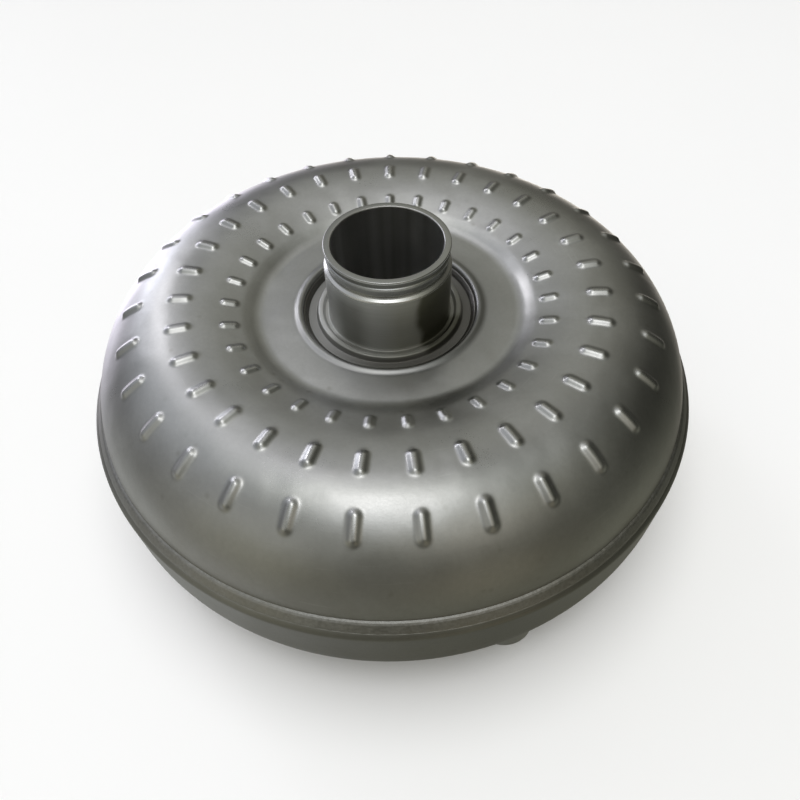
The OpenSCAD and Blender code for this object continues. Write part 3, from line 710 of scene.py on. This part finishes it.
def bead_ripple(count, amp_r, amp_z):
    def warp(R, Z, T):
        ph = T * count
        tri = np.abs(((ph / (2 * math.pi)) % 1.0) - 0.5) * 2
        k = (tri ** 1.5 - 0.4)
        return R + amp_r * k, Z + amp_z * k, T
    return warp


hub_bead = lathe("hub_weld", fillet([(34.3, 85.6, 0.2), (36.35, 85.55, 0), (36.35, 88.0, 0.3), (35.7, 87.7, 0.8), (34.9, 86.7, 0.8)], 4), 520, "housing", ("hub_weld_bead",), M["weld_metal"], sharp=60,
                 warp=bead_ripple(110, 0.05, 0.04))

seam_bead = lathe("seam_weld", fillet([(126.4, 60.6, 0), (129.2, 60.2, 0), (129.8, 60.15, 0.05), (129.0, 61.55, 2.0), (127.55, 63.55, 1.3), (126.9, 64.05, 0.4), (126.0, 64.5, 0)], 5), 1240, "housing", ("seam_weld_bead",), M["weld_metal"], sharp=60,
                  warp=bead_ripple(150, 0.035, 0.02))

# ------------------------------------------------------------------ front cover

def cover_profile():
    out = [(0, COVER_Z + 5)]
    out += fillet([(0.01, COVER_Z + 5, 0), (30.0, COVER_Z + 5, 1.2), (33.2, COVER_Z + 1.6, 2.0), (36.2, COVER_Z, 1.2), (46.0, COVER_Z, 0.8), (46.9, COVER_Z + 0.5, 0.5), (50.5, COVER_Z + 0.5, 0.5), (51.4, COVER_Z, 0.8), (52, COVER_Z, 0)], 5)[1:]
    out += [(60 + 4.2 * i, COVER_Z) for i in range(0, 10)]
    for i in range(0, 33):
        t = math.radians(-90 + 90 * i / 32)
        out.append((COVER_R - CORNER_R + CORNER_R * math.cos(t), COVER_Z + CORNER_R + CORNER_R * math.sin(t)))
    out += [(COVER_R, 43), (COVER_R, 45.5), (COVER_R, 48), (COVER_R, 51), (COVER_R, 54), (COVER_R, 57), (COVER_R, 58.3)]
    out += [(COVER_R - 0.06, 58.8), (COVER_R - 0.3, 59.3), (COVER_R - 1.4, 60.75), (COVER_R - 1.75, 61.0), (128.5, 61.0), (127.2, 61.0), (126.85, 60.8), (126.8, 60.4), (126.8, 50.6), (127.0, 49.9)]
    for i in range(0, 21):
        t = math.radians(-90 * i / 20)
        out.append((COVER_R - CORNER_R + (CORNER_R - COVER_T) * math.cos(t), COVER_Z + CORNER_R + (CORNER_R - COVER_T) * math.sin(t)))
    out += [(88, 16.5), (70, 16.5), (50, 16.5), (40, 16.5), (38.2, 16.9), (36.5, 18.0), (34.2, 20.9), (33.4, 21.4), (32.8, 21.5), (20, 21.5), (0, 21.5)]
    return out


cover = lathe("front_cover_pressing", cover_profile(), 384, "housing", ("front_cover",), M["cover_steel"], sharp=50)

pilot = lathe("crank_pilot_boss", [(0, 7.2)] + fillet([(0.01, 7.2, 0), (2.3, 3.4, 0.2), (2.9, 3.0, 0.3), (12.0, 3.0, 0.3), (13.2, 2.0, 0.5), (19.5, 2.0, 0.4), (21.0, 3.5, 0.5), (21.0, 14.4, 0.6), (21.6, 15.9, 1.0), (22.9, 16.95, 0)], 4)[1:] + [(22.9, 17.3), (0, 17.3)],
              192, "housing", ("crank_pilot",), M["pilot_steel"], sharp=35)

# ------------------------------------------------------------------ drive lugs with threaded holes

def cover_out_z(r):
    c = COVER_R - CORNER_R
    if r <= c:
        return COVER_Z
    return COVER_Z + CORNER_R - math.sqrt(max(0.0, CORNER_R ** 2 - (min(r, COVER_R - 0.01) - c) ** 2))


def lug(angle):
    """One forged lug. Around the hole's axis, each angle has a closed profile: thread, chamfer, face, edge, wall, weld, back."""
    pc, rr, x_in, pitch = 111.0, 13.5, 94.0, 1.5
    n = 144
    V, F = [], []
    ca, sa = math.cos(angle), math.sin(angle)
    m = None
    for j in range(n):
        ph = 2 * math.pi * j / n
        cx, sx = math.cos(ph), math.sin(ph)

        def reach(grow):
            r_end = rr + grow
            if cx >= 0:
                return r_end
            # rectangle part with rounded corners
            d = min(r_end / max(abs(sx), 1e-6), (pc - x_in + grow) / max(-cx, 1e-6))
            corner = 3.0
            bx, by = -(pc - x_in + grow) + corner, (rr + grow - corner) * (1 if sx >= 0 else -1)
            px, py = d * cx, d * sx
            if px < bx and abs(py) > abs(by):
                # ray against the corner circle
                b = cx * bx + sx * by
                c = bx * bx + by * by - corner * corner
                disc = b * b - c
                if disc > 0:
                    d = b + math.sqrt(disc)
            return d
        prof = []
        # drill point, then the thread down to the face
        prof += [(1.4, 12.0), (2.9, 11.6), (4.2, 11.25)]
        k = 42
        for i in range(k + 1):
            zz = 11.1 - 10.2 * i / k
            f = (zz / pitch + ph / (2 * math.pi)) % 1.0
            tri = abs(f - 0.5) * 2
            depth = np.clip((tri - 0.12) / 0.76, 0, 1) * 0.80
            fade = np.clip((10.6 - zz) / 0.8, 0, 1)
            prof.append((4.25 + depth * fade, zz))
        prof += [(5.1, 0.62), (5.45, 0.22), (5.75, 0.04), (6.1, 0.0)]
        o = reach(0)
        prof += [(6.1 + (o - 1.2 - 6.1) * t, 0.0) for t in (0.33, 0.66, 1.0)]
        prof += [(o - 0.75, 0.08), (o - 0.35, 0.3), (o - 0.1, 0.65), (o, 1.1)]

        def back(d, sink=0.0):
            x, y = pc + d * cx, d * sx
            return cover_out_z(math.hypot(x, y)) + sink
        ztop = back(o)
        prof += [(o, 1.1 + (ztop - 1.6 - 1.1) * t) for t in (0.25, 0.5, 0.75, 1.0)]
        # weld fillet up to the cover
        for t in (0.35, 0.7, 1.0):
            g = 1.7 * t * t + 0.05
            rip = 0.09 * math.sin(ph * 40 + t * 3)
            d = reach(g) + rip
            if t < 1:
                prof.append((d, back(d) - 1.5 * (1 - t) - 0.05))
            else:
                prof.append((d, back(d) + 0.06))
        d0 = reach(1.0)
        prof += [(d0 * 0.8, back(d0 * 0.8, 0.35)), (d0 * 0.6, back(d0 * 0.6, 0.35)), (6.0, back(6.0, 0.35)), (3.0, back(3.0, 0.35))]
        m = len(prof)
        for d, z in prof:
            x, y = pc + d * cx, d * sx
            V.append((x * ca - y * sa, x * sa + y * ca, float(z)))
    tip, back_mid = len(V), len(V) + 1
    V.append((pc * ca, pc * sa, 12.45))
    V.append((pc * ca, pc * sa, cover_out_z(pc) + 0.35))
    for j in range(n):
        j2 = (j + 1) % n
        for i in range(m - 1):
            F.append((j * m + i, j * m + i + 1, j2 * m + i + 1, j2 * m + i))
        F.append((tip, j * m, j2 * m))
        F.append((back_mid, j2 * m + m - 1, j * m + m - 1))
    return V, F


V, F = [], []
for k in range(3):
    v, f = lug(math.pi + k * 2 * math.pi / 3)
    F += [tuple(i + len(V) for i in q) for q in f]
    V += v
lugs = new_object("drive_lugs_forged", V, F, "housing", ("drive_lugs",), M["lug_steel"], sharp=32)

# ------------------------------------------------------------------ damper springs

def damper_coil(k):
    """One coil spring, wound along the arc of the pitch circle."""
    mid, half = math.radians(30 + 60 * k), math.radians(17)
    turns, seg, sides, wire = 8, 20, 10, 1.3
    n = turns * seg

    def centre(t):
        a, w = mid - half + 2 * half * t, t * turns * 2 * math.pi
        q = 5.65 - wire
        r = 97 + 0.6 * (2 * t - 1) ** 2 + q * math.cos(w)
        return Vector((r * math.cos(a), r * math.sin(a), 30.5 + q * math.sin(w)))
    V, F = [], []
    for i in range(n + 1):
        t = i / n
        p, d = centre(t), (centre(t + 0.001) - centre(t - 0.001)).normalized()
        a = mid - half + 2 * half * t
        u = p - Vector((97 * math.cos(a), 97 * math.sin(a), 30.5))
        u = (u - d * u.dot(d)).normalized()
        v = d.cross(u)
        V += [tuple(p + wire * (math.cos(2 * math.pi * j / sides) * u + math.sin(2 * math.pi * j / sides) * v)) for j in range(sides)]
    for i in range(n):
        for j in range(sides):
            j2 = (j + 1) % sides
            F.append((i * sides + j, (i + 1) * sides + j, (i + 1) * sides + j2, i * sides + j2)[::-1])
    F.append(tuple(range(sides))[::-1])
    F.append(tuple(n * sides + j for j in range(sides)))
    ob = new_object(f"damper_spring_{k + 1}", V, F, "damper", ("damper_springs",), M["spring_steel"], sharp=50)
    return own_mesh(ob)


for k in range(6):
    damper_coil(k)

# ------------------------------------------------------------------ camera

def camera():
    # seen from the front and above, in millimetres, then turned with the part about its axis
    right, up, fwd = Vector((0.99913, -0.03797, -0.01714)), Vector((0.04039, 0.78218, 0.62174)), Vector((0.01020, 0.62189, -0.78304))
    loc = Vector((0.0, -199.93, 182.44 + 92.0)) * MM
    turn = Matrix.Rotation(math.radians(7.3), 4, "Z")
    m = Matrix((right, up, -fwd)).transposed().to_4x4()
    m.translation = loc
    cam = bpy.data.cameras.new("camera")
    cam.sensor_width = 36
    cam.lens = 637.54 / 800 * 36
    cam.clip_start, cam.clip_end = 0.01, 50
    ob = bpy.data.objects.new("camera", cam)
    scene.collection.objects.link(ob)
    ob.matrix_world = turn @ m
    scene.camera = ob
    return ob, turn


cam, TURN = camera()

# ------------------------------------------------------------------ floor and light

def plain(name, color, rough=0.6):
    m = Mat(name)
    g = m.noise(0.01, 2, 0.5)
    m.set("Base Color", m.mix(m.mapr(g, 0.3, 0.7), tone(color, 0.995), color))
    m.set("Roughness", rough)
    m.set("Specular IOR Level", 0.2)
    return m.m


floor_mesh = bpy.data.meshes.new("floor")
S = 6.0
floor_mesh.from_pydata([(-S, -S, 0), (S, -S, 0), (S, S, 0), (-S, S, 0)], [], [(0, 1, 2, 3)])
floor = bpy.data.objects.new("floor", floor_mesh)
floor.location.z = -0.0002
floor_mesh.materials.append(plain("floor_paint", (0.93, 0.93, 0.925)))
scene.collection.objects.link(floor)
floor.visible_glossy = False


def area(name, az, el, dist, size, power, color=(1, 1, 1), glossy=True, target=(0, 0, 0.07), size_y=None, spread=None):
    """az is measured from the camera's side, positive to the right of the picture."""
    a, e = math.radians(az), math.radians(el)
    d = Vector((math.sin(a) * math.cos(e), -math.cos(a) * math.cos(e), math.sin(e)))
    d = TURN.to_3x3() @ d
    l = bpy.data.lights.new(name, "AREA")
    l.energy = power
    l.color = color
    l.shape = "RECTANGLE" if size_y else "DISK"
    l.size = size
    if size_y:
        l.size_y = size_y
    if spread:
        l.spread = math.radians(spread)
    ob = bpy.data.objects.new(name, l)
    scene.collection.objects.link(ob)
    t = Vector(target)
    ob.location = t + d * dist
    z = d.normalized()
    x = Vector((0, 0, 1)).cross(z)
    x = x.normalized() if x.length > 1e-4 else Vector((1, 0, 0))
    y = z.cross(x)
    ob.matrix_world = Matrix.Translation(ob.location) @ Matrix((x, y, z)).transposed().to_4x4()
    ob.visible_glossy = glossy
    return ob


# the room: soft lobes of light (azimuth from the camera's side, elevation, sharpness, colour)
LOBES = [
    (-52, 84, 21.0, (1.138, 1.204, 1.095)),
    (-141, 12.6, 112.0, (4.078, 4.11, 4.712)),
    (-64, -38, 2.5, (0.262, 0.256, 0.249)),
    (33, 55, 6.1, (0.347, 0.349, 0.281)),
    (171, -39, 16.0, (4.2, 3.9, 3.5)),
    (-49, 31, 10.5, (0.421, 0.421, 0.407)),
    (-144, 34, 260.0, (7.173, 6.988, 7.537)),
    (159, 37, 7.1, (0.255, 0.25, 0.214)),
    (-146, -17, 22.0, (3.136, 2.992, 3.51)),
    (79, -39, 6.1, (0.227, 0.229, 0.186)),
    (-121, 41, 7.2, (0.56, 0.581, 0.638)),
    (25, -9, 15.8, (0.212, 0.187, 0.134)),
    (30, 42, 30.0, (0.268, 0.23, 0.221)),
    (-45, 0, 10.0, (0.129, 0.12, 0.062)),
    (0, -45, 8.0, (0.084, 0.088, 0.061)),
    (-100, -45, 8.0, (0.382, 0.399, 0.4)),
    (0, 70, 30.0, (0.91, 0.925, 1.055)),
    (-30, 84, 60.0, (2.132, 1.995, 2.197)),
    (-150, 68, 40.0, (0.893, 0.86, 0.935)),
    (110, 70, 30.0, (0.13, 0.136, 0.15)),
    (180, 46, 30.0, (0.209, 0.213, 0.201)),
]
AMBIENT = (0.0, 0.0, 0.0)

area("floor_fill", 0, 88, 3.0, 3.0, 51.54, (0.999, 0.999, 1.0), glossy=False)

world = bpy.data.worlds.new("studio")
scene.world = world
world.use_nodes = True
wt = world.node_tree
wt.nodes.clear()
wo = wt.nodes.new("ShaderNodeOutputWorld")
wb = wt.nodes.new("ShaderNodeBackground")
wt.links.new(wb.outputs[0], wo.inputs[0])
tc = wt.nodes.new("ShaderNodeTexCoord")
total = None
for az, el, k, col in LOBES:
    a, e = math.radians(az), math.radians(el)
    mu = TURN.to_3x3() @ Vector((math.sin(a) * math.cos(e), -math.cos(a) * math.cos(e), math.sin(e)))
    dot = wt.nodes.new("ShaderNodeVectorMath"); dot.operation = "DOT_PRODUCT"
    dot.inputs[1].default_value = mu
    wt.links.new(tc.outputs["Generated"], dot.inputs[0])
    lin = wt.nodes.new("ShaderNodeMath"); lin.operation = "MULTIPLY_ADD"
    lin.inputs[1].default_value = k; lin.inputs[2].default_value = -k
    wt.links.new(dot.outputs["Value"], lin.inputs[0])
    ex = wt.nodes.new("ShaderNodeMath"); ex.operation = "EXPONENT"
    wt.links.new(lin.outputs[0], ex.inputs[0])
    sc = wt.nodes.new("ShaderNodeVectorMath"); sc.operation = "SCALE"
    sc.inputs[0].default_value = col
    wt.links.new(ex.outputs[0], sc.inputs[3])
    if total is None:
        add = wt.nodes.new("ShaderNodeVectorMath"); add.operation = "ADD"
        add.inputs[0].default_value = AMBIENT
        wt.links.new(sc.outputs[0], add.inputs[1])
    else:
        add = wt.nodes.new("ShaderNodeVectorMath"); add.operation = "ADD"
        wt.links.new(total, add.inputs[0]); wt.links.new(sc.outputs[0], add.inputs[1])
    total = add.outputs[0]
# behind the floor's edge the backdrop is as pale and plain as the floor
lp = wt.nodes.new("ShaderNodeLightPath")
back = wt.nodes.new("ShaderNodeMix"); back.data_type = "RGBA"
wt.links.new(lp.outputs["Is Camera Ray"], back.inputs[0])
wt.links.new(total, back.inputs[6])
back.inputs[7].default_value = (0.90, 0.90, 0.895, 1)
wt.links.new(back.outputs[2], wb.inputs[0])
wb.inputs[1].default_value = 1.0

scene.view_settings.view_transform = "Standard"
scene.view_settings.look = "None"
scene.view_settings.exposure = 0.0
scene.view_settings.gamma = 1.0
